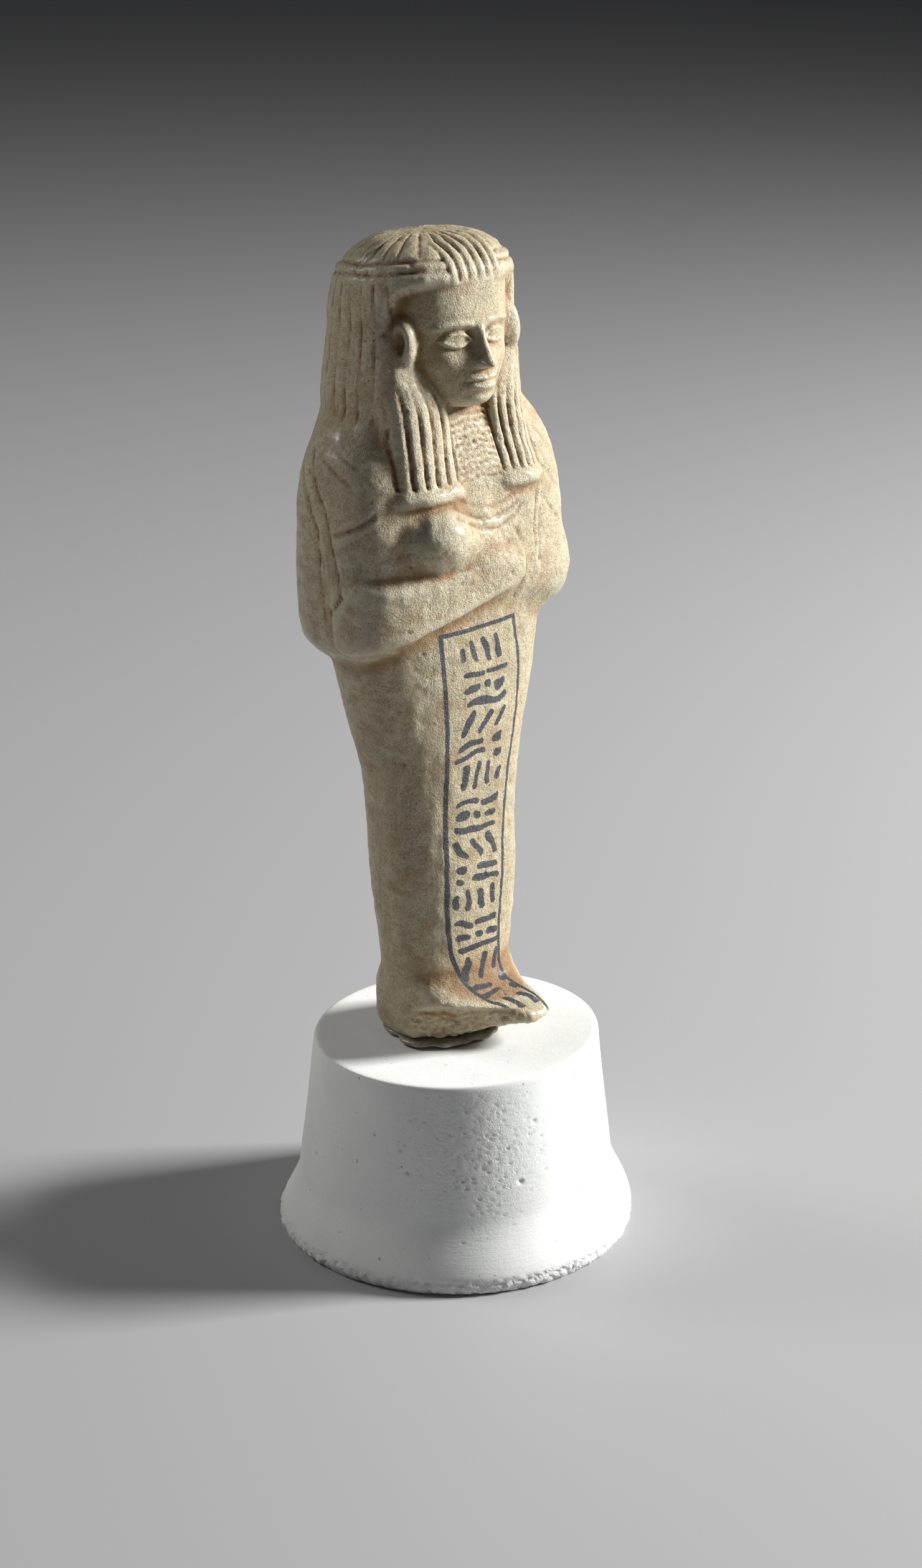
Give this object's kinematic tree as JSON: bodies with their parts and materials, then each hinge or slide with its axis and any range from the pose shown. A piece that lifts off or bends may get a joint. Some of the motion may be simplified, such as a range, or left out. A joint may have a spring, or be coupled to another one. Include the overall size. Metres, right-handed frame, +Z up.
{
  "type": "mounted funerary figurine",
  "caption": "Moulded faience mummy-shaped figurine with striped wig and crossed arms, glued by its foot to a turned white plaster stand.",
  "frame": {"origin": "centre of the stand's underside, on the ground", "axes": "+Z up along the figure, the figure faces -Y, +X to the figure's left"},
  "size_m": [0.055, 0.055, 0.1529],
  "materials": {
    "faience_figure": "worn, weathered, slightly glossy on the ridges",
    "fixing_putty": "dull, slightly translucent adhesive putty",
    "plaster_stand": "matte cast plaster, pitted and chipped at its edges"
  },
  "bodies": {
    "root": {"faience_figure": "faience_figure", "fixing_putty": "fixing_putty", "plaster_stand": "plaster_stand"}
  },
  "joints": []
}
